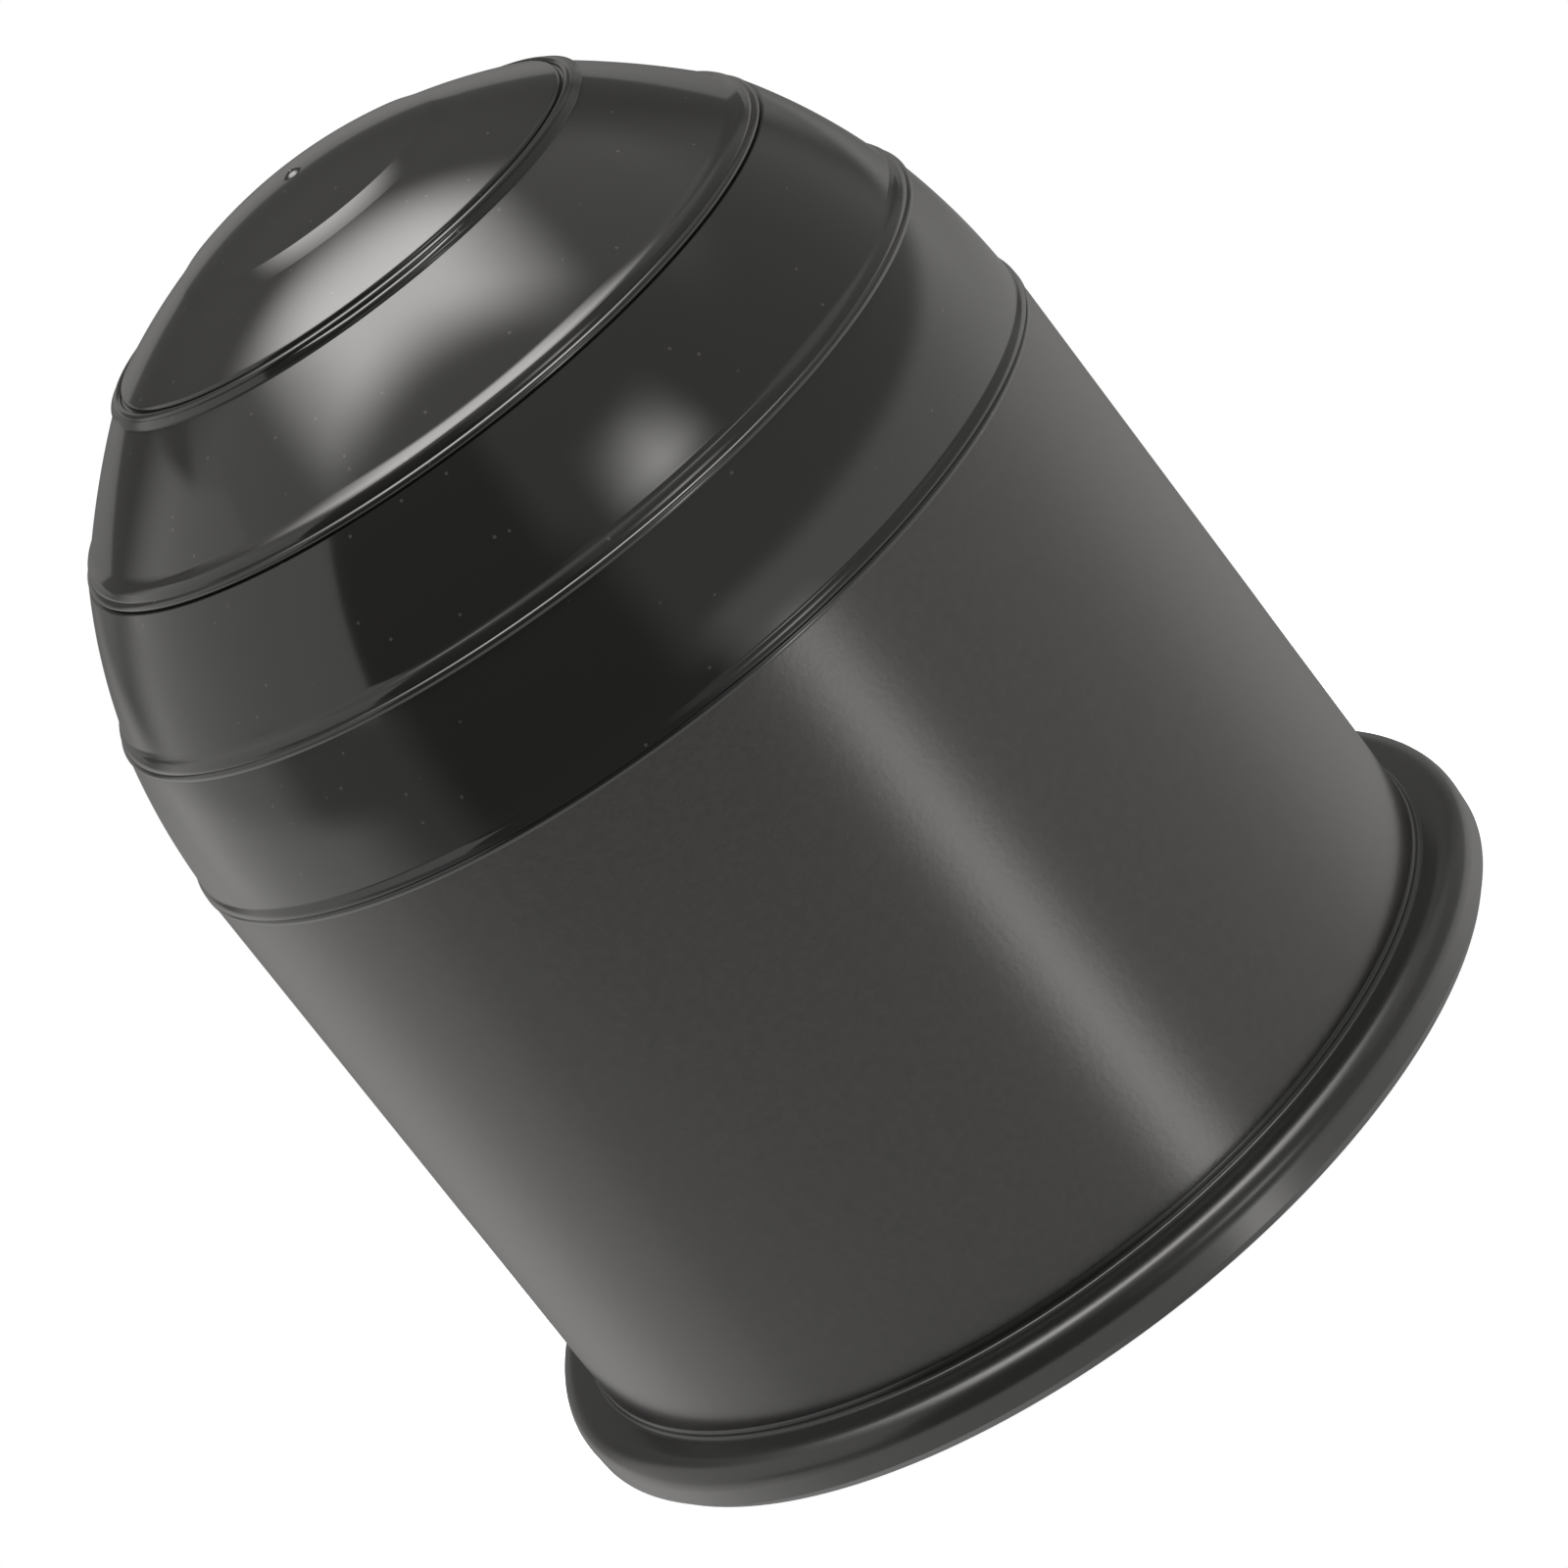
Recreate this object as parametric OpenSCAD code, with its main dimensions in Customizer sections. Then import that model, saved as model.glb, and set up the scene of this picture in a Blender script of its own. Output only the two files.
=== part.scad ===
// Cover for a 50 mm tow ball: a moulded cap with an open rim that snaps over the ball.
// The outside is a stepped dome on a straight skirt with a flanged rim. The inside has grip ribs.
// The whole cap is one turned section plus a ring of ribs. Z is its axis and the rim's face is z = 0.

/* [Ball fit] */
// Diameter of the tow ball
ball_d = 50; // [49:0.1:51]
// Gap between the ball and the ribs' crests
ball_gap = 0.1; // [0:0.05:0.5]
// Angle below the ball's equator to which the ribs wrap it
rib_wrap = 13; // [8:1:18]

/* [Dome] */
// Diameter of the sphere that the crown belongs to
dome_d = 62.44; // [61:0.02:70]
// Height of the sphere's centre above the skirt's top edge
dome_rise = 1; // [0.5:0.1:3]
// Wall thickness between that sphere and the hollow inside
wall = 1.8; // [1.4:0.1:2.4]
// Radius of the section's curve on the bands between the rings, from the skirt upwards
band_r = [42, 36, 47, 29]; // [26:1:80]

/* [Skirt] */
// Height of the skirt's top edge above the rim's face
skirt_h = 45.97; // [40:0.01:55]
// Distance that the skirt's top edge stands out from the dome's sphere
skirt_step = 0.14; // [0:0.02:0.4]
// Draft angle of the skirt, outside and inside
skirt_draft = 0.78; // [0.3:0.02:1.2]

/* [Rings] */
// Angle of each ring above the sphere's centre, for the rings above the skirt's own
ring_lat = [16.84, 35.79, 56.27]; // [10:0.01:62]
// Distance that each of these rings' feet stands out from the sphere
ring_step = [-0.19, 0, 0.02]; // [-0.3:0.01:0.3]
// Radius of the fine bead at a ring's foot
bead_r = 0.3; // [0.2:0.02:0.36]
// Distance of the bead's edge inside the foot, from the skirt's ring upwards
bead_set = [-0.08, -0.08, 0.17, 0.05]; // [-0.1:0.01:0.3]
// Height of the bead's centre above the foot
bead_rise = [0.2, 0.2, 0.24, -0.08]; // [-0.1:0.01:0.3]
// Height of the groove over the bead, above the foot
groove_rise = [0.49, 0.47, 0.48, 0.17]; // [0.1:0.01:0.5]
// Radius of the roll above the groove
roll_r = 1; // [0.8:0.02:1.2]
// Distance of the roll's edge inside the foot
roll_set = [-0.06, -0.07, 0.46, 0.5]; // [-0.1:0.01:0.6]
// Height of the roll's centre above the foot
roll_rise = [0.46, 0.46, 0.46, -0.08]; // [-0.1:0.01:0.5]
// Slope at which each roll meets the band above it
roll_end = [35, 58, 65, 70]; // [30:1:75]

/* [Crown] */
// Diameter of the crown's crisp edge
crown_d = 18; // [12:0.1:20]
// Radius of the cove around the crown
cove_r = 16; // [8:1:30]
// Slope of the cove at the crown's edge
cove_start = 70; // [66:0.5:72]
// Slope where the cove turns into the top band
cove_end = 77; // [74:0.5:80]
// Radius of the top band's shoulder below the cove
shoulder_r = 8; // [4:0.5:12]
// Slope where the shoulder meets the top band
shoulder_end = 67.3; // [64:0.1:72]
// Diameter of the gate mark at the middle of the crown
gate_d = 1.3; // [0.8:0.1:2.5]
// Height of the gate mark
gate_h = 0.3; // [0.1:0.05:0.6]

/* [Rim] */
// Distance that the flange stands out from the skirt's foot
flange_out = 3.01; // [2.4:0.01:6]
// Height of the flange
flange_h = 3.48; // [3:0.02:6]
// Radius of the flange's upper edge
flange_roll = 1.6; // [1:0.1:2]
// Height of the chamfer under the flange's edge
chamfer_h = 0.65; // [0.3:0.05:1]
// Depth of that chamfer
chamfer_w = 0.5; // [0.2:0.05:1]
// Draft of the flange's edge between the chamfer and the roll
edge_draft = 0.05; // [0:0.01:0.1]
// Distance that the collar at the skirt's foot stands out from the skirt
collar_out = 0.11; // [0.04:0.01:0.4]
// Height of the collar's shoulder above the flange
collar_h = 0.32; // [0.2:0.02:0.6]
// Radius of the collar's shoulder
collar_r = 0.45; // [0.3:0.05:0.8]
// Radius of the fillet at the collar's foot
collar_fillet = 0.3; // [0.1:0.05:0.5]

/* [Grip ribs] */
// Number of ribs
rib_count = 8; // [4:1:16]
// Thickness of a rib
rib_t = 2; // [1.2:0.1:3]
// Height of a rib's foot on the wall, where the lead-in starts
rib_foot = 20; // [8:0.5:28]
// Distance from the axis at which the ribs stop under the crown
rib_stop = 9; // [5:0.5:14]

/* [Hidden] */
$fn = 180;
body_color = [0.16, 0.16, 0.155];
sink = 0.6;
dome_r = dome_d / 2;
dome_z = skirt_h + dome_rise;
hollow_r = dome_r - wall;
grip_r = ball_d / 2 + ball_gap;
crown_r = crown_d / 2;
crown_z = dome_z + sqrt(pow(dome_r, 2) - pow(crown_r, 2));
shoulder_z = flange_h + collar_h;
skirt_top = [dome_r + skirt_step, skirt_h];

// Point at a distance from a centre, at a slope measured up from the horizontal
function at(centre, radius, slope) = centre + radius * [cos(slope), sin(slope)];

// Centre of the circle through two points, on the side of the axis
function arc_centre(a, b, radius) =
    let (chord = b - a, half = norm(chord) / 2, along = chord / norm(chord))
    (a + b) / 2 + sqrt(pow(radius, 2) - pow(half, 2)) * [-along.y, along.x];

// Radius of the skirt's outside and of the hollow at a height
function skirt_x(z) = skirt_top.x + (skirt_h - z) * tan(skirt_draft);
function hollow_x(z) = hollow_r + (dome_z - z) * tan(skirt_draft);

// Outer radii of the flange and of the collar
flange_edge = skirt_x(0) + flange_out;
collar_edge = skirt_x(flange_h) + collar_out;

// Feet of the rings, from the skirt's own ring upwards
feet = concat([skirt_top], [for (i = [0 : 2]) at([0, dome_z], dome_r + ring_step[i], ring_lat[i])]);
rolls = [for (i = [0 : 3]) feet[i] + [-roll_set[i] - roll_r, roll_rise[i]]];
starts = [for (i = [0 : 3]) at(rolls[i], roll_r, roll_end[i])];

// Turning points of the section between the top band and the crown
crown_edge = [crown_r, crown_z];
cove_centre = at(crown_edge, cove_r, cove_start);
cove_turn = at(cove_centre, -cove_r, cove_end);
shoulder_centre = at(cove_turn, -shoulder_r, cove_end);
shoulder_start = at(shoulder_centre, shoulder_r, shoulder_end);
band_ends = [feet[1], feet[2], feet[3], shoulder_start];

// Rectangle from the axis out to a radius, between two heights
module slab(x, z0, z1) {
    translate([0, z0])
        square([x, z1 - z0]);
}

// Part of a round section that lies between two heights
module round_slab(centre, radius, z0, z1) {
    intersection() {
        translate(centre)
            circle(r = radius);
        slab(centre.x + radius + 1, z0, z1);
    }
}

// Flange with its chamfer below and its rolled upper edge
module flange_section() {
    roll_x = flange_edge - flange_roll;
    roll_z = flange_h - flange_roll;
    polygon([
        [0, 0],
        [flange_edge - edge_draft - chamfer_w, 0],
        [flange_edge - edge_draft, chamfer_h],
        [flange_edge, roll_z],
        [roll_x, flange_h],
        [0, flange_h],
    ]);
    translate([roll_x, roll_z])
        circle(r = flange_roll);
}

// Collar that the skirt stands on, with a fillet to the flange
module collar_section() {
    slab(collar_edge, flange_h - sink, shoulder_z);
    round_slab([collar_edge - collar_r, shoulder_z], collar_r, flange_h, shoulder_z + collar_r);
    difference() {
        translate([collar_edge - sink, flange_h - sink])
            square(collar_fillet + sink);
        translate([collar_edge + collar_fillet, flange_h + collar_fillet])
            circle(r = collar_fillet);
    }
}

// Skirt with its draft
module skirt_section() {
    polygon([[0, 0], [skirt_x(0), 0], skirt_top, [0, skirt_h]]);
}

// Ring: a fine bead, a groove and a roll, standing on the foot of the same number
module ring_section(i) {
    foot = feet[i];
    bead = foot + [-bead_set[i] - bead_r, bead_rise[i]];
    groove_z = foot.y + groove_rise[i];
    slab(bead.x, foot.y - sink, groove_z);
    translate(bead)
        circle(r = bead_r);
    round_slab(rolls[i], roll_r, groove_z, starts[i].y);
    slab(rolls[i].x, foot.y - sink, starts[i].y);
}

// Band from the top of a ring to the foot of the next one
module band_section(i) {
    round_slab(arc_centre(starts[i], band_ends[i], band_r[i]), band_r[i], starts[i].y, band_ends[i].y);
}

// Shoulder and cove between the top band and the crown, and the crown itself
module crown_section() {
    round_slab(shoulder_centre, shoulder_r, shoulder_start.y, cove_turn.y);
    difference() {
        polygon([[0, shoulder_start.y], [cove_turn.x, shoulder_start.y], cove_turn, crown_edge, [0, crown_z]]);
        translate(cove_centre)
            circle(r = cove_r);
    }
    round_slab([0, dome_z], dome_r, crown_z, dome_z + dome_r);
    slab(gate_d / 2, dome_z, dome_z + dome_r + gate_h);
}

// Outside of the cap, filled in to the axis
module outer_section() {
    flange_section();
    collar_section();
    skirt_section();
    for (i = [0 : 3]) {
        ring_section(i);
        band_section(i);
    }
    crown_section();
}

// Hollow inside, grown into the wall by a margin
module hollow_section(grow = 0) {
    polygon([
        [0, -1],
        [hollow_x(-1) + grow, -1],
        [hollow_r + grow, dome_z],
        [0, dome_z],
    ]);
    round_slab([0, dome_z], hollow_r + grow, dome_z, dome_z + hollow_r + grow);
}

// Side view of one rib, with its crest round the ball and its lead-in below
module rib_section() {
    wrap = at([0, dome_z], grip_r, -rib_wrap);
    difference() {
        intersection() {
            hollow_section(sink);
            polygon([
                [rib_stop, dome_z + dome_r],
                [rib_stop, dome_z],
                wrap,
                [hollow_x(rib_foot), rib_foot],
                [dome_r, rib_foot],
                [dome_r, dome_z + dome_r],
            ]);
        }
        translate([0, dome_z])
            circle(r = grip_r);
    }
}

// The turned shell
module shell() {
    rotate_extrude()
        difference() {
            outer_section();
            hollow_section();
        }
}

// The ring of grip ribs
module ribs() {
    for (i = [0 : rib_count - 1])
        rotate([0, 0, (i + 0.5) * 360 / rib_count])
            rotate([90, 0, 0])
                linear_extrude(height = rib_t, center = true)
                    rib_section();
}

// The cap as moulded, in one piece
module cover() {
    color(body_color)
        union() {
            shell();
            ribs();
        }
}

cover();
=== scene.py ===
"""Tow ball cover: the moulded cap's finished surfaces, the studio round it and the camera.

The cap is one moulding. Its section is given in millimetres, as arcs and lines, and is turned into a fine
mesh whose normals are those of the true curves. Everything in the scene itself is in metres.
"""

import logging
import math
from dataclasses import dataclass, field, replace
from enum import Enum

import bmesh
import bpy
import numpy as np
from mathutils import Matrix, Vector


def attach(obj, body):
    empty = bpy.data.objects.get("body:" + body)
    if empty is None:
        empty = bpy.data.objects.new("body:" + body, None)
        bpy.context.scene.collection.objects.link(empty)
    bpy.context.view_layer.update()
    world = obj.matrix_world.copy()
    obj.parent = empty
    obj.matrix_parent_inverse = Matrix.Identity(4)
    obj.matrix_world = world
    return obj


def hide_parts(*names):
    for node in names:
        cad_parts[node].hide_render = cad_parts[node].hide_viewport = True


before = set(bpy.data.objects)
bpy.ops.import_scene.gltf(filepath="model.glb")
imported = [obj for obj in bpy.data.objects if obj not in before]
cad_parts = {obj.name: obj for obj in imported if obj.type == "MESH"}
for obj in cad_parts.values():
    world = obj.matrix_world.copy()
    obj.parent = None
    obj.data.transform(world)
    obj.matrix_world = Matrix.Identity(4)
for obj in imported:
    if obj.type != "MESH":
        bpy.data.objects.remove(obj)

MM = 0.001
TOUCH = 1e-4  # distance in millimetres below which two points of the section are one
BODY = "root"
NODE = "cover"

log = logging.getLogger("cover")

Point = tuple[float, float]
Socket = bpy.types.NodeSocket
Tree = bpy.types.NodeTree


class Zone(Enum):
    """Finish that the mould leaves on a stretch of the cap."""

    POLISHED = 0
    SATIN = 1
    RIM = 2
    INSIDE = 3


def linear(colour: str) -> tuple[float, float, float, float]:
    """Turns an sRGB hex colour into linear values.

    Args:
        colour: Six hex digits after a hash sign.

    Returns:
        Red, green, blue and an alpha of 1, linear.
    """
    parts = [int(colour[i : i + 2], 16) / 255 for i in (1, 3, 5)]
    red, green, blue = (c / 12.92 if c <= 0.04045 else ((c + 0.055) / 1.055) ** 2.4 for c in parts)
    return red, green, blue, 1.0


def add_node(tree: Tree, kind: str, settings: dict | None = None,
             inputs: dict | None = None) -> bpy.types.Node:
    """Adds a node, sets its properties, and sets or links its inputs.

    Args:
        tree: Node tree that gets the node.
        kind: Type of the node, without its ShaderNode prefix.
        settings: Properties of the node by name.
        inputs: Values or output sockets by the input's name or index.

    Returns:
        The new node.
    """
    node = tree.nodes.new("ShaderNode" + kind)
    for key, value in (settings or {}).items():
        setattr(node, key, value)
    for key, value in (inputs or {}).items():
        if isinstance(value, Socket):
            tree.links.new(value, node.inputs[key])
        else:
            node.inputs[key].default_value = value
    return node


def at(centre: Point, radius: float, slope: float) -> Point:
    """Point at a distance from a centre, at a slope in degrees up from the horizontal."""
    turn = math.radians(slope)
    return centre[0] + radius * math.cos(turn), centre[1] + radius * math.sin(turn)


def slope_of(centre: Point, point: Point) -> float:
    """Slope in degrees of the line from a centre to a point."""
    return math.degrees(math.atan2(point[1] - centre[1], point[0] - centre[0]))


def arc_centre(start: Point, end: Point, radius: float) -> Point:
    """Finds the centre of the circle through two points, on the side of the axis.

    Args:
        start: Lower point.
        end: Upper point.
        radius: Radius of the circle.

    Returns:
        The centre.
    """
    dx, dz = end[0] - start[0], end[1] - start[1]
    half = math.hypot(dx, dz) / 2
    rise = math.sqrt(radius**2 - half**2) / (2 * half)
    return (start[0] + end[0]) / 2 - rise * dz, (start[1] + end[1]) / 2 + rise * dx


@dataclass(frozen=True)
class Stretch:
    """Smooth stretch of the section: its points, and the slope of the outward normal at each.

    A worn stretch is crisp in front only: further round, its normals come down to the slope given as worn.
    """

    points: list[Point]
    slopes: list[float]
    zone: Zone
    worn: float | None = None


@dataclass
class CapSection:
    """Section of the cap in millimetres, from the rim's face up to the crown and down again inside.

    The steps say how finely arcs and the skirt are divided, and the search values, in degrees, how finely the
    points are looked for where two arcs meet.
    """

    dome_r: float = 31.22
    dome_rise: float = 1.0
    wall: float = 1.8
    band_r: tuple[float, ...] = (42.0, 38.0, 60.0, 40.0)
    skirt_h: float = 45.97
    skirt_step: float = 0.14
    skirt_draft: float = 0.78
    ring_lat: tuple[float, ...] = (16.84, 35.79, 56.27)
    ring_step: tuple[float, ...] = (-0.19, 0.0, 0.02)
    bead_r: float = 0.3
    bead_set: tuple[float, ...] = (-0.08, -0.08, 0.17, -0.19)
    bead_rise: tuple[float, ...] = (0.2, 0.2, 0.24, 0.04)
    bead_count: tuple[int, ...] = (1, 1, 1, 2)
    bead_pitch: float = 0.5
    worn_slope: float = 24.0
    groove_rise: tuple[float, ...] = (0.49, 0.47, 0.48, 0.41)
    roll_r: tuple[float, ...] = (1.0, 1.15, 1.05, 0.35)
    roll_set: tuple[float, ...] = (-0.06, 0.1, 0.48, 0.95)
    roll_rise: tuple[float, ...] = (0.46, 0.35, 0.37, 0.52)
    roll_end: tuple[float, ...] = (35.0, 47.0, 58.0, 64.0)
    blend_r: tuple[float, ...] = (0.5, 0.94, 2.6, 2.0)
    blend_end: tuple[float, ...] = (3.5, 19.0, 43.0, 62.0)
    crown_r: float = 9.3
    cove_r: float = 26.0
    cove_start: float = 65.5
    cove_end: float = 69.0
    gate_r: float = 0.65
    gate_h: float = 0.24
    flange_out: float = 2.99
    flange_h: float = 3.48
    flange_roll: float = 1.6
    chamfer_h: float = 0.65
    chamfer_w: float = 0.5
    edge_draft: float = 0.05
    collar_out: float = 0.11
    collar_h: float = 0.32
    collar_r: float = 0.45
    collar_fillet: float = 0.3
    arc_step: float = 0.45
    turn_step: float = 9.0
    skirt_steps: int = 10
    collar_search: float = 0.05
    roll_search: float = 0.1
    band_search: float = 0.002

    @property
    def dome_z(self) -> float:
        """Height of the centre of the dome's sphere."""
        return self.skirt_h + self.dome_rise

    @property
    def hollow_r(self) -> float:
        """Radius of the hollow's dome."""
        return self.dome_r - self.wall

    @property
    def skirt_top(self) -> Point:
        """Top edge of the skirt."""
        return self.dome_r + self.skirt_step, self.skirt_h

    def skirt_x(self, height: float) -> float:
        """Radius of the skirt's outside at a height."""
        return self.skirt_top[0] + (self.skirt_h - height) * math.tan(math.radians(self.skirt_draft))

    def hollow_x(self, height: float) -> float:
        """Radius of the hollow at a height below the dome."""
        return self.hollow_r + (self.dome_z - height) * math.tan(math.radians(self.skirt_draft))

    def arc(self, centre: Point, radius: float, start: float, end: float, zone: Zone = Zone.POLISHED,
            hollow: bool = False) -> Stretch:
        """Makes an arc of the section.

        Args:
            centre: Centre of the arc.
            radius: Radius, below zero where the arc is seen from its hollow side.
            start: Slope at the arc's start, in degrees.
            end: Slope at its end.
            zone: Finish of the stretch.
            hollow: Whether the normal points to the centre.

        Returns:
            The arc, with points no further apart than the section's steps.
        """
        length = abs(math.radians(end - start) * radius)
        count = max(3, int(length / self.arc_step), int(abs(end - start) / self.turn_step))
        slopes = [start + (end - start) * i / count for i in range(count + 1)]
        flip = 180 if hollow else 0
        return Stretch([at(centre, radius, s) for s in slopes], [s + flip for s in slopes], zone)

    def line(self, start: Point, end: Point, zone: Zone = Zone.POLISHED, count: int = 1) -> Stretch:
        """Makes a straight stretch of the section, with the outside on its right hand.

        Args:
            start: First point.
            end: Last point.
            zone: Finish of the stretch.
            count: Number of equal parts.

        Returns:
            The stretch.
        """
        dx, dz = end[0] - start[0], end[1] - start[1]
        points = [(start[0] + dx * i / count, start[1] + dz * i / count) for i in range(count + 1)]
        return Stretch(points, [math.degrees(math.atan2(-dx, dz))] * (count + 1), zone)

    def rim(self) -> list[Stretch]:
        """Flange with its chamfer and rolled edge, and the collar that the skirt stands on."""
        edge = self.skirt_x(0) + self.flange_out
        roll = (edge - self.flange_roll, self.flange_h - self.flange_roll)
        foot = (edge - self.edge_draft, self.chamfer_h)
        collar = self.skirt_x(self.flange_h) + self.collar_out
        fillet = (collar + self.collar_fillet, self.flange_h + self.collar_fillet)
        shoulder = (collar - self.collar_r, self.flange_h + self.collar_h)
        meet = 0.0
        while at(shoulder, self.collar_r, meet)[0] > self.skirt_x(at(shoulder, self.collar_r, meet)[1]):
            meet += self.collar_search
        return [
            self.line((foot[0] - self.chamfer_w, 0), foot, Zone.RIM),
            self.line(foot, (edge, roll[1]), Zone.RIM),
            self.arc(roll, self.flange_roll, 0, 90, Zone.RIM),
            self.line((roll[0], self.flange_h), (fillet[0], self.flange_h), Zone.RIM),
            self.arc(fillet, self.collar_fillet, 270, 180, Zone.RIM, hollow=True),
            self.line((collar, fillet[1]), (collar, shoulder[1]), Zone.RIM),
            self.arc(shoulder, self.collar_r, 0, meet, Zone.RIM),
            self.line(at(shoulder, self.collar_r, meet), self.skirt_top, Zone.SATIN, self.skirt_steps),
        ]

    def beads(self, number: int, foot: Point) -> list[Point]:
        """Centres of the fine beads at a ring's foot, one above the other up the dome."""
        first = (foot[0] - self.bead_set[number] - self.bead_r, foot[1] + self.bead_rise[number])
        lean = (0.0, *self.ring_lat)[number] + 90
        return [at(first, self.bead_pitch * k, lean) for k in range(self.bead_count[number])]

    def ring(self, number: int, foot: Point, low: Point) -> tuple[list[Stretch], Point]:
        """Makes a ring: the fine beads at its foot, the groove, the roll and the fillet up to the band.

        Args:
            number: Place of the ring, from the skirt upwards.
            foot: Point that the ring stands on.
            low: Point where the stretch below the ring ends.

        Returns:
            The stretches of the ring, and the point where its band starts.
        """
        roll_r, blend_r = self.roll_r[number], self.blend_r[number]
        roll = (foot[0] - self.roll_set[number] - roll_r, foot[1] + self.roll_rise[number])
        beads = self.beads(number, foot)
        groove_z = foot[1] + self.groove_rise[number]
        start = slope_of(beads[0], low)
        if math.dist(beads[0], low) > self.bead_r + TOUCH:
            start = math.degrees(math.asin((foot[1] - beads[0][1]) / self.bead_r))
        out = [self.line(low, at(beads[0], self.bead_r, start))]
        for bead, after in zip(beads, beads[1:]):
            half = math.degrees(math.acos(self.bead_pitch / 2 / self.bead_r))
            lean = slope_of(bead, after)
            out.append(replace(self.arc(bead, self.bead_r, start, lean - half), worn=self.worn_slope))
            start = lean - 180 + half
        top_bead = beads[-1]
        roll_x = roll[0] + math.sqrt(roll_r**2 - (groove_z - roll[1]) ** 2)
        end = math.degrees(math.asin(min((groove_z - top_bead[1]) / self.bead_r, 1.0)))
        if len(beads) > 1:
            end = 180 - end
        elif at(top_bead, self.bead_r, end)[0] >= roll_x:
            end = start
            while math.dist(at(top_bead, self.bead_r, end), roll) > roll_r:
                end += self.roll_search
        top = at(top_bead, self.bead_r, end)
        turn = math.degrees(math.asin((max(groove_z, top[1]) - roll[1]) / roll_r))
        roll_end, blend_end = self.roll_end[number], self.blend_end[number]
        blend = at(at(roll, roll_r, roll_end), blend_r, roll_end)
        out += [
            self.arc(top_bead, self.bead_r, start, end),
            self.line(top, at(roll, roll_r, turn)),
            self.arc(roll, roll_r, turn, roll_end),
            self.arc(blend, -blend_r, roll_end, blend_end),
        ]
        return out, at(blend, -blend_r, blend_end)

    def dome(self) -> list[Stretch]:
        """Rings and bands of the dome, the cove, the crown and the gate mark."""
        middle = (0.0, self.dome_z)
        feet = [self.skirt_top]
        feet += [at(middle, self.dome_r + step, lat) for step, lat in zip(self.ring_step, self.ring_lat)]
        edge = (self.crown_r, self.dome_z + math.sqrt(self.dome_r**2 - self.crown_r**2))
        cove = at(edge, self.cove_r, self.cove_start)
        ends = feet[1:] + [at(cove, -self.cove_r, self.cove_end)]
        out: list[Stretch] = []
        low = feet[0]
        for number, radius in enumerate(self.band_r):
            stretches, start = self.ring(number, feet[number], low)
            centre = arc_centre(start, ends[number], radius)
            end = slope_of(centre, ends[number])
            if number < len(feet) - 1:
                bead = self.beads(number + 1, feet[number + 1])[0]
                while math.dist(at(centre, radius, end), bead) < self.bead_r:
                    end -= self.band_search
            low = at(centre, radius, end)
            out += stretches + [self.arc(centre, radius, slope_of(centre, start), end)]
        gate = at(middle, self.dome_r, math.degrees(math.acos(self.gate_r / self.dome_r)))
        rise = self.dome_z + self.dome_r + self.gate_h - gate[1]
        nub_r = (self.gate_r**2 + rise**2) / (2 * rise)
        nub = (0.0, gate[1] + rise - nub_r)
        out += [
            self.arc(cove, -self.cove_r, self.cove_end, self.cove_start),
            self.arc(middle, self.dome_r, slope_of(middle, edge), slope_of(middle, gate)),
            self.arc(nub, nub_r, slope_of(nub, gate), 90),
        ]
        return out

    def hollow(self) -> list[Stretch]:
        """Inside of the cap, from the axis down to the rim's face."""
        middle = (0.0, self.dome_z)
        mouth = (self.hollow_x(0), 0.0)
        foot = (self.skirt_x(0) + self.flange_out - self.edge_draft - self.chamfer_w, 0.0)
        return [
            self.arc(middle, self.hollow_r, 90, 0, Zone.INSIDE, hollow=True),
            self.line((self.hollow_r, self.dome_z), mouth, Zone.INSIDE, self.skirt_steps),
            self.line(mouth, foot),
        ]


@dataclass
class GripRibs:
    """Ribs inside the cap that snap under the ball, in millimetres."""

    count: int = 8
    thick: float = 2.0
    ball_r: float = 25.0
    gap: float = 0.1
    wrap: float = 13.0
    foot: float = 20.0
    stop: float = 9.0
    sink: float = 0.6
    crest_steps: int = 28
    edge: float = 0.2
    edge_steps: int = 2
    sharp_turn: float = 30.0
    smooth_turn: float = 35.0

    def outline(self, section: CapSection) -> list[Point]:
        """Side view of one rib.

        Args:
            section: Section of the cap that the rib stands in.

        Returns:
            Points round the rib, from its foot on the wall.
        """
        middle = (0.0, section.dome_z)
        grip, wall = self.ball_r + self.gap, section.hollow_r + self.sink
        first = math.degrees(math.acos(self.stop / grip))
        crest = [first - (first + self.wrap) * i / self.crest_steps for i in range(self.crest_steps + 1)]
        last = math.degrees(math.acos(self.stop / wall))
        back = [last * i / self.crest_steps for i in range(self.crest_steps + 1)]
        foot = section.hollow_x(self.foot)
        points = [(foot, self.foot), (foot + self.sink, self.foot)]
        points += [at(middle, wall, slope) for slope in back]
        return points + [at(middle, grip, slope) for slope in crest]


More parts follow.
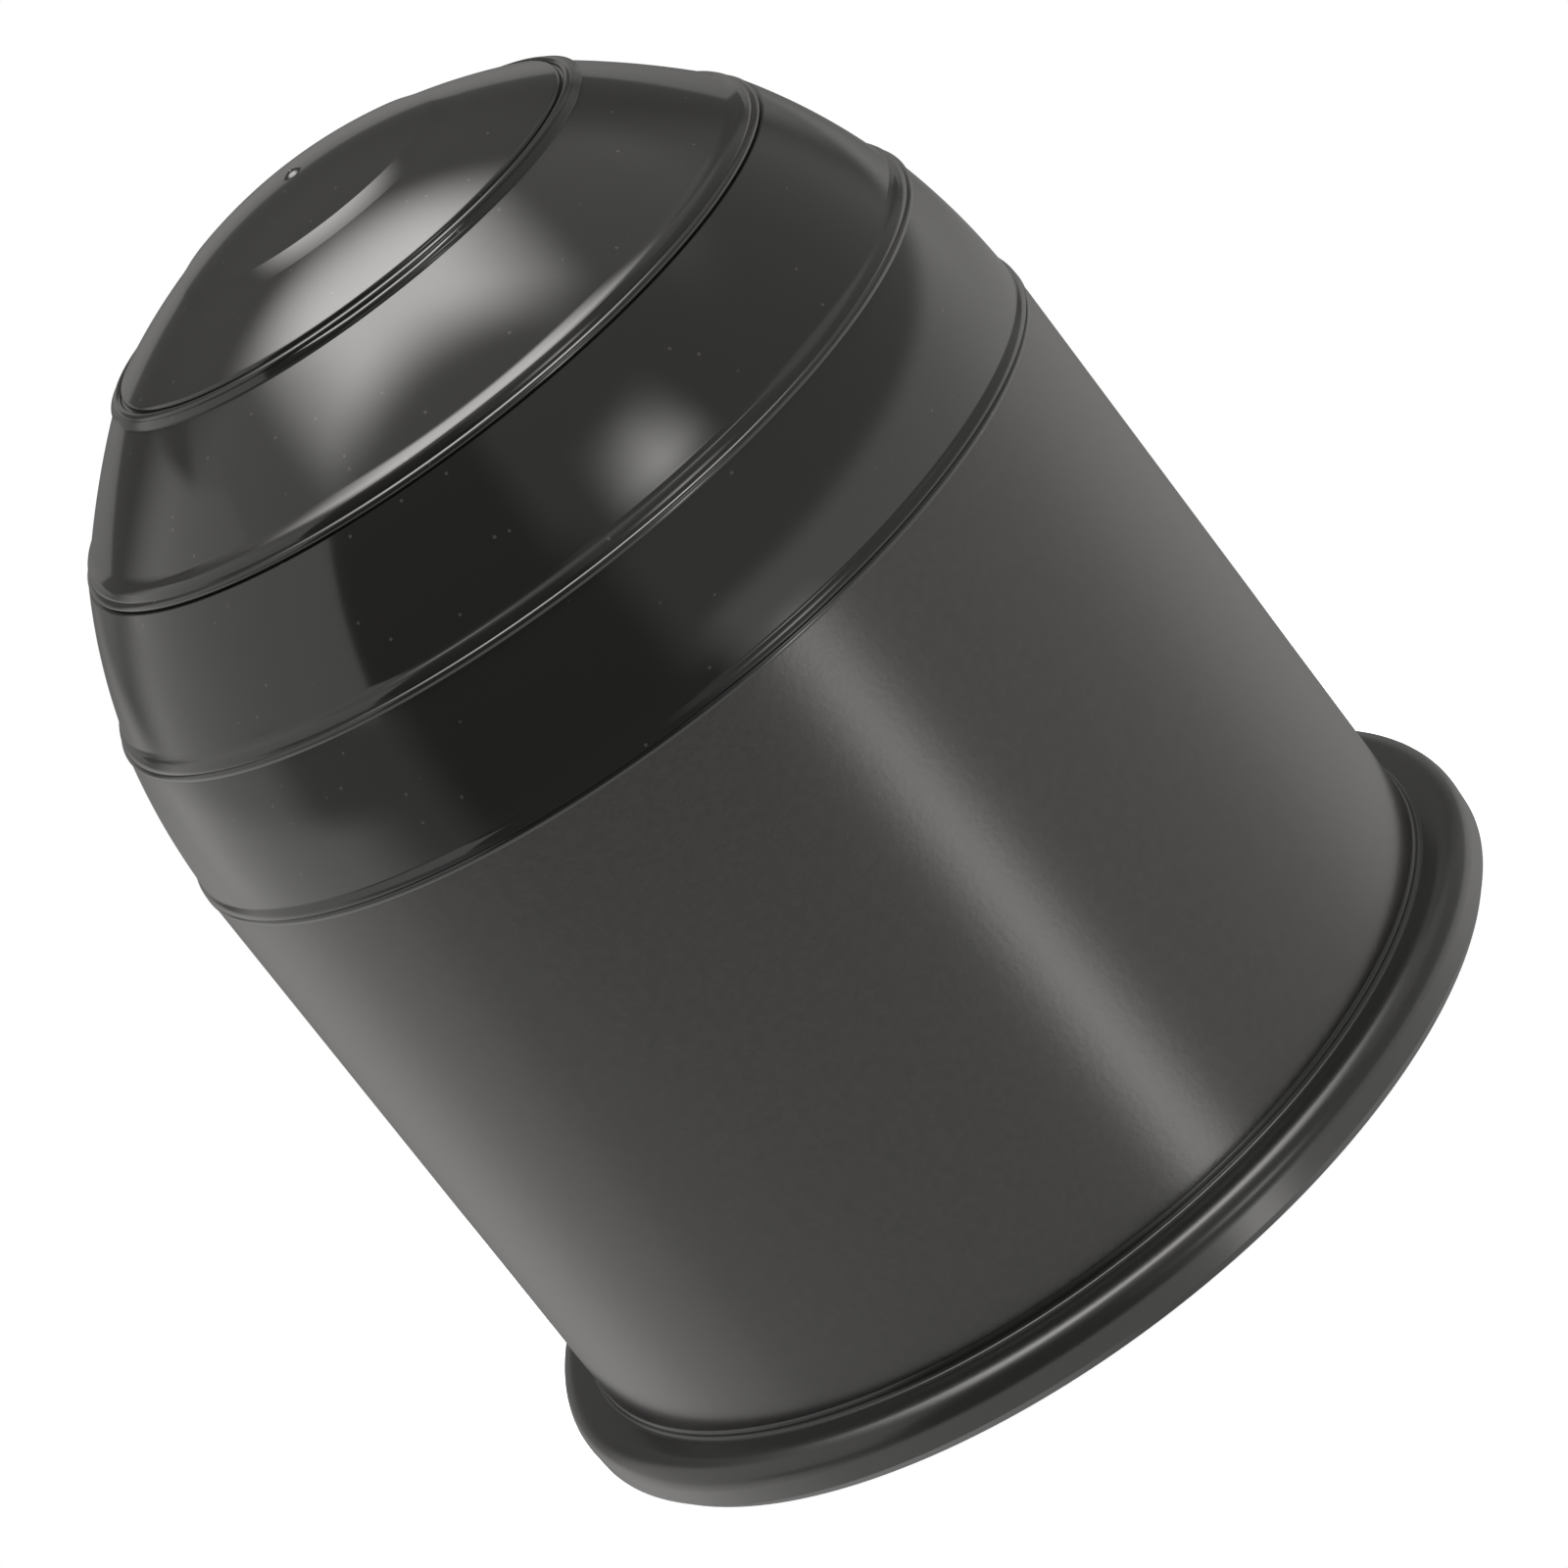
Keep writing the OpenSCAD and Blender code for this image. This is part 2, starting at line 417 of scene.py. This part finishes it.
class Moulding:
    """The cap as moulded: the turned shell and the ribs inside it."""

    def __init__(self, section: CapSection, ribs: GripRibs, segments: int = 256,
                 crisp_part: tuple[float, float] = (8.0, 26.0)) -> None:
        """Keeps the sizes.

        Args:
            section: Section of the shell.
            ribs: Ribs inside it.
            segments: Number of steps round the axis.
            crisp_part: Degrees off the front where a worn bead starts to fade, and where it is gone.
        """
        self.crisp_part = crisp_part
        self.section = section
        self.ribs = ribs
        self.segments = segments

    def shell(self, materials: list[bpy.types.Material]) -> bpy.types.Object:
        """Turns the section into the shell, one ring of points for each point of the section.

        Args:
            materials: Materials in the order of the zones.

        Returns:
            The shell, with the normals of the true curves.
        """
        stretches = self.section.rim() + self.section.dome() + self.section.hollow()
        stretches = [s for s in stretches if math.dist(s.points[0], s.points[-1]) > TOUCH]
        count = self.segments
        turn = np.arange(count) * math.tau / count
        crisp = self._crispness(turn)
        ring_of = self._ring_numbers(stretches)
        where: list[Point] = []
        for stretch in stretches:
            where += stretch.points[:-1]
        first, coords = [], []
        for x, z in where:
            first.append(sum(len(c) for c in coords))
            steps = turn if x > 0 else turn[:1]
            coords.append(np.stack([x * np.cos(steps), x * np.sin(steps), np.full(len(steps), z)], 1))
        faces, zones, normals = [], [], []
        for stretch, rings in zip(stretches, ring_of):
            for j in range(len(stretch.points) - 1):
                low, high = first[rings[j]], first[rings[j + 1]]
                off_axis = [where[rings[j]][0] > 0, where[rings[j + 1]][0] > 0]
                lean = [math.radians(s) for s in stretch.slopes[j : j + 2]]
                for k in range(count):
                    after = (k + 1) % count
                    corners = [(low, k, lean[0]), (low, after, lean[0])]
                    corners += [(high, after, lean[1]), (high, k, lean[1])]
                    if not off_axis[0]:
                        corners = [(low, 0, lean[0])] + corners[2:]
                    elif not off_axis[1]:
                        corners = corners[:2] + [(high, 0, lean[1])]
                    faces.append([base + step for base, step, _ in corners])
                    zones.append(stretch.zone.value)
                    for _, step, slope in corners:
                        if stretch.worn is not None:
                            slope = crisp[step] * slope + (1 - crisp[step]) * math.radians(stretch.worn)
                        side = math.cos(slope)
                        out = (side * math.cos(turn[step]), side * math.sin(turn[step]), math.sin(slope))
                        normals.append(out)
        mesh = bpy.data.meshes.new("cap_shell")
        mesh.from_pydata((np.concatenate(coords) * MM).tolist(), [], faces)
        for material in materials:
            mesh.materials.append(material)
        mesh.polygons.foreach_set("material_index", zones)
        mesh.polygons.foreach_set("use_smooth", [True] * len(faces))
        mesh.normals_split_custom_set(normals)
        mesh.update()
        return self._keep(mesh)

    def _crispness(self, turn: np.ndarray) -> np.ndarray:
        """How crisp a worn stretch still is round the cap, from 1 in front to 0 beyond its crisp part."""
        off = np.abs((np.degrees(turn) + 90 + 180) % 360 - 180)
        near, far = self.crisp_part
        return np.clip((far - off) / (far - near), 0, 1)

    @staticmethod
    def _ring_numbers(stretches: list[Stretch]) -> list[list[int]]:
        """Numbers the section's points, with each stretch starting on the last point of the one before.

        Args:
            stretches: Stretches of a closed section.

        Returns:
            The numbers of each stretch's points.
        """
        total = sum(len(s.points) - 1 for s in stretches)
        numbers, start = [], 0
        for stretch in stretches:
            count = len(stretch.points)
            numbers.append([(start + i) % total for i in range(count)])
            start += count - 1
        return numbers

    def grip_ribs(self, material: bpy.types.Material) -> bpy.types.Object:
        """Makes the ribs, with their edges softened as a mould's are.

        Args:
            material: Finish of the ribs.

        Returns:
            All the ribs as one mesh.
        """
        outline = self.ribs.outline(self.section)
        half = self.ribs.thick / 2
        shape = bmesh.new()
        for number in range(self.ribs.count):
            spin = Matrix.Rotation((number + 0.5) * math.tau / self.ribs.count, 3, "Z")
            sides = []
            for y in (-half, half):
                sides.append([shape.verts.new(spin @ Vector((x, y, z)) * MM) for x, z in outline])
            shape.faces.new(sides[0])
            shape.faces.new(sides[1][::-1])
            for i in range(len(outline)):
                j = (i + 1) % len(outline)
                shape.faces.new((sides[0][j], sides[0][i], sides[1][i], sides[1][j]))
        bmesh.ops.recalc_face_normals(shape, faces=shape.faces)
        sharp = [e for e in shape.edges if e.calc_face_angle(0) > math.radians(self.ribs.sharp_turn)]
        bmesh.ops.bevel(shape, geom=sharp, offset=self.ribs.edge * MM, segments=self.ribs.edge_steps,
                        profile=0.5, affect="EDGES")
        mesh = bpy.data.meshes.new("grip_ribs")
        shape.to_mesh(mesh)
        shape.free()
        mesh.materials.append(material)
        mesh.polygons.foreach_set("use_smooth", [True] * len(mesh.polygons))
        mesh.set_sharp_from_angle(angle=math.radians(self.ribs.smooth_turn))
        return self._keep(mesh)

    @staticmethod
    def _keep(mesh: bpy.types.Mesh) -> bpy.types.Object:
        """Puts a mesh in the scene, riding on the part's body."""
        piece = bpy.data.objects.new(mesh.name, mesh)
        bpy.context.scene.collection.objects.link(piece)
        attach(piece, BODY)
        return piece


def spread(tree: Tree, size: tuple[float, float, float], seed: float) -> Socket:
    """Places for a pattern on the cap.

    Args:
        tree: Node tree of the finish.
        size: Size of one cell of the pattern along each axis, in millimetres.
        seed: Shift that sets one pattern apart from another.

    Returns:
        The place in cells of the pattern.
    """
    where = add_node(tree, "TexCoord").outputs["Object"]
    scale = tuple(1 / (s * MM) for s in size)
    inputs = {"Vector": where, "Location": (seed,) * 3, "Scale": scale}
    return add_node(tree, "Mapping", None, inputs).outputs[0]


def grain(tree: Tree, size: tuple[float, float, float], seed: float, detail: float = 2.0) -> Socket:
    """Soft unevenness from 0 to 1, with grains of a size in millimetres."""
    inputs = {"Vector": spread(tree, size, seed), "Scale": 1.0, "Detail": detail}
    return add_node(tree, "TexNoise", None, inputs).outputs[0]


def specks(tree: Tree, spacing: float, radius: float, share: float, seed: float) -> Socket:
    """Sparse round specks.

    Args:
        tree: Node tree of the finish.
        spacing: Distance between the cells that a speck may lie in, in millimetres.
        radius: Largest radius of a speck, as a share of the spacing.
        share: Share of the cells that have a speck.
        seed: Shift of the pattern.

    Returns:
        1 on a speck and 0 elsewhere, with soft edges.
    """
    cells = add_node(tree, "TexVoronoi", None, {"Vector": spread(tree, (spacing,) * 3, seed), "Scale": 1.0})
    chance = add_node(tree, "SeparateColor", None, {"Color": cells.outputs["Color"]}).outputs[0]
    chosen = add_node(tree, "Math", {"operation": "LESS_THAN"}, {0: chance, 1: share}).outputs[0]
    near = {"Value": cells.outputs["Distance"], "From Min": radius, "From Max": radius * 0.4}
    near = add_node(tree, "MapRange", {"interpolation_type": "SMOOTHSTEP"}, near).outputs[0]
    return add_node(tree, "Math", {"operation": "MULTIPLY"}, {0: chosen, 1: near}).outputs[0]


def tint(tree: Tree, share: Socket, colour: str, other: str) -> Socket:
    """Mixes two colours, the second by its share."""
    inputs = {"Factor": share, 6: linear(colour), 7: linear(other)}
    return add_node(tree, "Mix", {"data_type": "RGBA"}, inputs).outputs[2]


@dataclass(frozen=True)
class PolishedPolyethylene:
    """Black polyethylene moulded against a polished cavity.

    It gives the eye clear but slightly soft reflections over a near-black body, with faint waves and a little
    dust.
    """

    colour: str = "#20201f"
    dust: str = "#41403e"
    ior: float = 1.52
    roughness: float = 0.09
    wave_size: float = 5.0
    wave_depth: float = 0.006
    wave_seed: float = 2.0
    speck_spacing: float = 1.3
    speck_radius: float = 0.11
    speck_share: float = 0.4
    speck_seed: float = 5.0

    def build(self) -> bpy.types.Material:
        """Makes the material."""
        material = bpy.data.materials.new("polished_polyethylene")
        material.use_nodes = True
        tree = material.node_tree
        skin = tree.nodes["Principled BSDF"]
        skin.inputs["IOR"].default_value = self.ior
        skin.inputs["Roughness"].default_value = self.roughness
        dusty = specks(tree, self.speck_spacing, self.speck_radius, self.speck_share, self.speck_seed)
        tree.links.new(tint(tree, dusty, self.colour, self.dust), skin.inputs["Base Color"])
        waves = grain(tree, (self.wave_size,) * 3, self.wave_seed, 0.0)
        bump = {"Strength": 1.0, "Distance": self.wave_depth * MM, "Height": waves}
        bump = add_node(tree, "Bump", None, bump)
        tree.links.new(bump.outputs[0], skin.inputs["Normal"])
        return material


@dataclass(frozen=True)
class SatinPolyethylene:
    """Black polyethylene moulded against a blasted cavity wall.

    It gives the eye broad, soft highlights, a fine grain and a warmer, greyer black.
    """

    name: str = "satin_polyethylene"
    colour: str = "#171615"
    light: str = "#2a2927"
    ior: float = 1.52
    roughness: float = 0.22
    grain_size: float = 0.35
    grain_depth: float = 0.005
    grain_seed: float = 3.0
    mottle_size: float = 0.6
    mottle_seed: float = 7.0

    def build(self) -> bpy.types.Material:
        """Makes the material."""
        material = bpy.data.materials.new(self.name)
        material.use_nodes = True
        tree = material.node_tree
        skin = tree.nodes["Principled BSDF"]
        skin.inputs["IOR"].default_value = self.ior
        skin.inputs["Roughness"].default_value = self.roughness
        mottle = grain(tree, (self.mottle_size,) * 3, self.mottle_seed)
        tree.links.new(tint(tree, mottle, self.colour, self.light), skin.inputs["Base Color"])
        height = grain(tree, (self.grain_size,) * 3, self.grain_seed)
        bump = {"Strength": 1.0, "Distance": self.grain_depth * MM, "Height": height}
        bump = add_node(tree, "Bump", None, bump)
        tree.links.new(bump.outputs[0], skin.inputs["Normal"])
        return material


@dataclass(frozen=True)
class RimPolyethylene(SatinPolyethylene):
    """The same polyethylene at the rim, where the cavity is turned and only lightly blasted.

    It gives the eye a duller, more even black, with hardly any grain.
    """

    name: str = "rim_polyethylene"
    colour: str = "#222221"
    light: str = "#282827"
    roughness: float = 0.24
    grain_size: float = 0.5
    grain_depth: float = 0.001


@dataclass(frozen=True)
class SoftPanel:
    """Evenly lit area of the surroundings with soft edges, as seen from the cap.

    Azimuths are in degrees round from the camera's side towards +X, and elevations up from the horizon.
    A panel on both sides counts its azimuth from the front on the left as on the right. The soft widths are
    those of the first and the last azimuth and of the lower and the upper elevation. A slant lowers the upper
    edge by so many degrees for each degree that the azimuth lies before the one it is counted from.
    """

    name: str
    level: float
    azimuth: tuple[float, float]
    elevation: tuple[float, float]
    soft: tuple[float, float, float, float]
    both_sides: bool = False
    slant: float = 0.0
    slant_from: float = 0.0


@dataclass
class Studio:
    """Table, surroundings and background.

    The cap is black and glossy, so what the eye reads as its finish is what it mirrors. The surroundings are
    painted by direction: a large softbox overhead, a small soft light in front, walls, a ceiling and the
    table all round. The camera itself sees the plain white table and background. The roof's sides, front and
    back are distances from straight above, for a roof at a height of 1. Its foot is the sine of an elevation.
    """

    dark: float = 0.07
    roof_level: float = 8.7
    roof_side: tuple[float, float] = (0.67, 0.14)
    roof_taper: float = 0.1
    roof_back: tuple[float, float] = (0.9, 0.32)
    roof_front: tuple[float, float] = (0.27, 0.06)
    roof_floor: float = 0.05
    roof_foot: tuple[float, float] = (0.3, 0.5)
    table_colour: str = "#dadada"
    table_reach: float = 1500.0
    table_edge: float = 185.0
    table_edge_side: float = -46.0
    camera_white: float = 0.9
    shadow_reach: tuple[float, float] = (50.0, 62.0)
    warmth: tuple[float, float, float, float] = (1.0, 0.985, 0.973, 1.0)
    panels: list[SoftPanel] = field(default_factory=lambda: [
        SoftPanel("rear", 0.14, (122.0, 200.0), (-90.0, 64.0), (24.0, 1.0, 1.0, 10.0), both_sides=True),
        SoftPanel("rear, above", 0.3, (130.0, 200.0), (32.0, 64.0), (20.0, 1.0, 26.0, 10.0), both_sides=True),
        SoftPanel("bench behind", 0.39, (144.0, 200.0), (-2.0, 15.5), (12.0, 1.0, 24.0, 1.0), both_sides=True,
                  slant=0.25, slant_from=180.0),
        SoftPanel("front", 0.42, (3.0, 136.0), (-9.0, 52.0), (14.0, 20.0, 6.0, 8.0)),
        SoftPanel("front, above", 0.39, (-5.0, 60.0), (22.0, 60.0), (14.0, 20.0, 14.0, 12.0)),
        SoftPanel("upper right wall", 0.68, (76.0, 133.0), (31.0, 68.0), (20.0, 16.0, 12.0, 8.0)),
        SoftPanel("upper left wall", 0.78, (-130.0, -66.0), (38.0, 68.0), (24.0, 16.0, 4.0, 8.0)),
        SoftPanel("wall foot", 0.42, (-104.0, -58.0), (-15.0, 12.0), (10.0, 14.0, 4.0, 2.0)),
        SoftPanel("left wall, below", 0.95, (-138.0, -94.0), (-15.0, 12.0), (18.0, 16.0, 4.0, 2.0)),
        SoftPanel("left wall", 0.98, (-138.0, -62.0), (9.0, 45.0), (18.0, 0.8, 3.0, 2.5),
                  slant=0.6, slant_from=-113.0),
        SoftPanel("front ceiling", 0.7, (-66.0, 66.0), (58.0, 84.0), (20.0, 20.0, 12.0, 8.0)),
        SoftPanel("table behind", 0.26, (140.0, 200.0), (-91.0, -13.0), (30.0, 1.0, 1.0, 8.0),
                  both_sides=True),
        SoftPanel("table on the right", 1.12, (12.0, 139.0), (-91.0, -3.5), (14.0, 66.0, 1.0, 4.0)),
        SoftPanel("table on the left", 1.24, (-145.0, -78.0), (-91.0, -5.0), (54.0, 26.0, 1.0, 6.0)),
        SoftPanel("table in front", 1.1, (-84.0, 16.0), (-91.0, -15.0), (24.0, 10.0, 1.0, 6.0)),
        SoftPanel("key light", 6.6, (19.5, 36.5), (19.5, 28.5), (25.0, 22.0, 9.0, 18.0)),
        SoftPanel("key light in the table", 6.0, (22.0, 32.0), (-50.0, -14.0), (12.0, 16.0, 10.0, 10.0)),
    ])

    @staticmethod
    def _smooth(tree: Tree, value: Socket, start: float, end: float) -> Socket:
        """Rises smoothly from 0 to 1 as a value goes from start to end."""
        inputs = {"Value": value, "From Min": start, "From Max": end}
        return add_node(tree, "MapRange", {"interpolation_type": "SMOOTHSTEP"}, inputs).outputs[0]

    @staticmethod
    def _math(tree: Tree, operation: str, *values: Socket | float) -> Socket:
        """Result of a maths node."""
        return add_node(tree, "Math", {"operation": operation}, dict(enumerate(values))).outputs[0]

    def _product(self, tree: Tree, factors: list[Socket | float]) -> Socket:
        """Multiplies sockets and numbers."""
        total = factors[0]
        for factor in factors[1:]:
            total = self._math(tree, "MULTIPLY", total, factor)
        return total

    def _layer(self, tree: Tree, below: Socket | float, level: float, cover: Socket) -> Socket:
        """Lays an area of one level over what is below it.

        Args:
            tree: World's node tree.
            below: Level so far.
            level: Level of the area.
            cover: How far the area covers what is below, from 0 to 1.

        Returns:
            The new level.
        """
        return self._math(tree, "MULTIPLY_ADD", cover, self._math(tree, "SUBTRACT", level, below), below)

    def _panel_cover(self, tree: Tree, panel: SoftPanel, azimuth: Socket, elevation: Socket) -> Socket:
        """Area of a panel.

        Args:
            tree: World's node tree.
            panel: The panel.
            azimuth: Azimuth of the direction, in degrees.
            elevation: Elevation of the direction, in degrees.

        Returns:
            1 inside the panel, 0 outside, with its soft edges between.
        """
        left, right, low, high = panel.soft
        bearing = self._math(tree, "ABSOLUTE", azimuth) if panel.both_sides else azimuth
        top = elevation
        if panel.slant:
            beyond = self._math(tree, "MAXIMUM", self._math(tree, "SUBTRACT", panel.slant_from, bearing), 0.0)
            top = self._math(tree, "MULTIPLY_ADD", beyond, panel.slant, elevation)
        return self._product(tree, [
            self._smooth(tree, bearing, panel.azimuth[0] - left / 2, panel.azimuth[0] + left / 2),
            self._smooth(tree, bearing, panel.azimuth[1] + right / 2, panel.azimuth[1] - right / 2),
            self._smooth(tree, elevation, panel.elevation[0] - low / 2, panel.elevation[0] + low / 2),
            self._smooth(tree, top, panel.elevation[1] + high / 2, panel.elevation[1] - high / 2),
        ])

    def _roof_cover(self, tree: Tree, way: list[Socket]) -> Socket:
        """Area of the overhead softbox, which fades towards its back edge and narrows there.

        Args:
            tree: World's node tree.
            way: Direction's x, y and z.

        Returns:
            The softbox's share of its full level.
        """
        x, y, z = way
        height = self._math(tree, "MAXIMUM", z, self.roof_floor)
        along = self._math(tree, "DIVIDE", y, height)
        behind = self._math(tree, "MAXIMUM", along, 0.0)
        widen = self._math(tree, "MULTIPLY_ADD", behind, self.roof_taper, 1.0)
        sideways = self._math(tree, "ABSOLUTE", self._math(tree, "DIVIDE", x, height))
        across = self._product(tree, [sideways, widen])
        return self._product(tree, [
            self._smooth(tree, across, *self.roof_side),
            self._smooth(tree, along, *self.roof_back),
            self._smooth(tree, self._product(tree, [along, -1.0]), *self.roof_front),
            self._smooth(tree, z, *self.roof_foot),
        ])

    def surroundings(self) -> None:
        """Makes the world: the surroundings as the cap mirrors them, and plain white for the camera."""
        world = bpy.data.worlds.new("studio")
        bpy.context.scene.world = world
        world.use_nodes = True
        tree = world.node_tree
        tree.nodes.clear()
        seen = add_node(tree, "TexCoord").outputs["Generated"]
        way = list(add_node(tree, "SeparateXYZ", None, {0: seen}).outputs)
        bearing = self._math(tree, "ARCTAN2", way[0], self._product(tree, [way[1], -1.0]))
        azimuth = self._product(tree, [bearing, 180 / math.pi])
        elevation = self._product(tree, [self._math(tree, "ARCSINE", way[2]), 180 / math.pi])
        level: Socket | float = self.dark
        for panel in self.panels:
            level = self._layer(tree, level, panel.level, self._panel_cover(tree, panel, azimuth, elevation))
        level = self._layer(tree, level, self.roof_level, self._roof_cover(tree, way))
        lit = add_node(tree, "Background", None, {"Color": self.warmth, "Strength": level})
        white = add_node(tree, "Background", None, {"Color": (1, 1, 1, 1), "Strength": 1.0})
        path = add_node(tree, "LightPath")
        straight, through = path.outputs["Is Camera Ray"], path.outputs["Is Transmission Ray"]
        plain = self._math(tree, "MAXIMUM", straight, through)
        mixed = add_node(tree, "MixShader", None, {0: plain, 1: lit.outputs[0], 2: white.outputs[0]})
        add_node(tree, "OutputWorld", None, {"Surface": mixed.outputs[0]})

    def table(self) -> bpy.types.Object:
        """Makes the white acrylic table top that the cap stands on, with its near edge close to the cap."""
        reach = self.table_reach
        side = math.radians(self.table_edge_side)
        out = Vector((math.sin(side), -math.cos(side)))
        along = Vector((-out.y, out.x))
        corners = [out * self.table_edge + along * reach, out * self.table_edge - along * reach]
        corners += [corners[1] - out * 2 * reach, corners[0] - out * 2 * reach]
        mesh = bpy.data.meshes.new("table")
        mesh.from_pydata([(c.x * MM, c.y * MM, 0.0) for c in corners], [], [(0, 1, 2, 3)])
        mesh.materials.append(self._table_finish())
        table = bpy.data.objects.new("table", mesh)
        bpy.context.scene.collection.objects.link(table)
        table.visible_diffuse = table.visible_glossy = False
        table.visible_transmission = table.visible_shadow = False
        return table

    def _table_finish(self) -> bpy.types.Material:
        """White acrylic: a faint shadow near the cap and plain white further out, for the camera alone."""
        material = bpy.data.materials.new("white_acrylic")
        material.use_nodes = True
        tree = material.node_tree
        tree.nodes.remove(tree.nodes["Principled BSDF"])
        face = add_node(tree, "BsdfDiffuse", None, {"Color": linear(self.table_colour)})
        glow = add_node(tree, "Emission", None, {"Strength": self.camera_white})
        skin = add_node(tree, "AddShader", None, {0: face.outputs[0], 1: glow.outputs[0]})
        white = add_node(tree, "Emission", None, {"Strength": 1.0})
        place = add_node(tree, "TexCoord").outputs["Object"]
        away = add_node(tree, "VectorMath", {"operation": "LENGTH"}, {0: place}).outputs["Value"]
        near, far = self.shadow_reach
        far_share = {"Value": away, "From Min": near * MM, "From Max": far * MM}
        far_share = add_node(tree, "MapRange", {"interpolation_type": "SMOOTHSTEP"}, far_share).outputs[0]
        mixed = add_node(tree, "MixShader", None, {0: far_share, 1: skin.outputs[0], 2: white.outputs[0]})
        tree.links.new(mixed.outputs[0], tree.nodes["Material Output"].inputs["Surface"])
        return material


@dataclass(frozen=True)
class Viewpoint:
    """Camera, in millimetres and degrees."""

    place: tuple[float, float, float] = (0.93, -328.3, 148.22)
    tilt: float = -20.057
    roll: float = -37.718
    lens: float = 127.77
    film: float = 36.0
    clip: tuple[float, float] = (10.0, 20000.0)

    def build(self) -> bpy.types.Object:
        """Makes the camera and gives it to the scene."""
        data = bpy.data.cameras.new("camera")
        data.lens = self.lens
        data.sensor_width = self.film
        data.clip_start, data.clip_end = (reach * MM for reach in self.clip)
        camera = bpy.data.objects.new("camera", data)
        bpy.context.scene.collection.objects.link(camera)
        turn = Matrix.Rotation(math.radians(90 + self.tilt), 4, "X")
        turn @= Matrix.Rotation(math.radians(self.roll), 4, "Z")
        camera.matrix_world = Matrix.Translation(Vector(self.place) * MM) @ turn
        bpy.context.scene.camera = camera
        return camera


def main() -> None:
    """Builds the finished cap, its studio and the camera."""
    logging.basicConfig(level=logging.INFO, format="%(name)s: %(message)s")
    bpy.context.scene.view_settings.view_transform = "Standard"
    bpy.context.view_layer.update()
    Viewpoint().build()
    studio = Studio()
    studio.surroundings()
    studio.table()
    polished = PolishedPolyethylene().build()
    satin = SatinPolyethylene().build()
    rim = RimPolyethylene().build()
    moulding = Moulding(CapSection(), GripRibs())
    shell = moulding.shell([polished, satin, rim, satin])
    ribs = moulding.grip_ribs(satin)
    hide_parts(NODE)
    for piece in (shell, ribs):
        log.info("%s: %d faces", piece.name, len(piece.data.polygons))


if __name__ == "__main__":
    main()
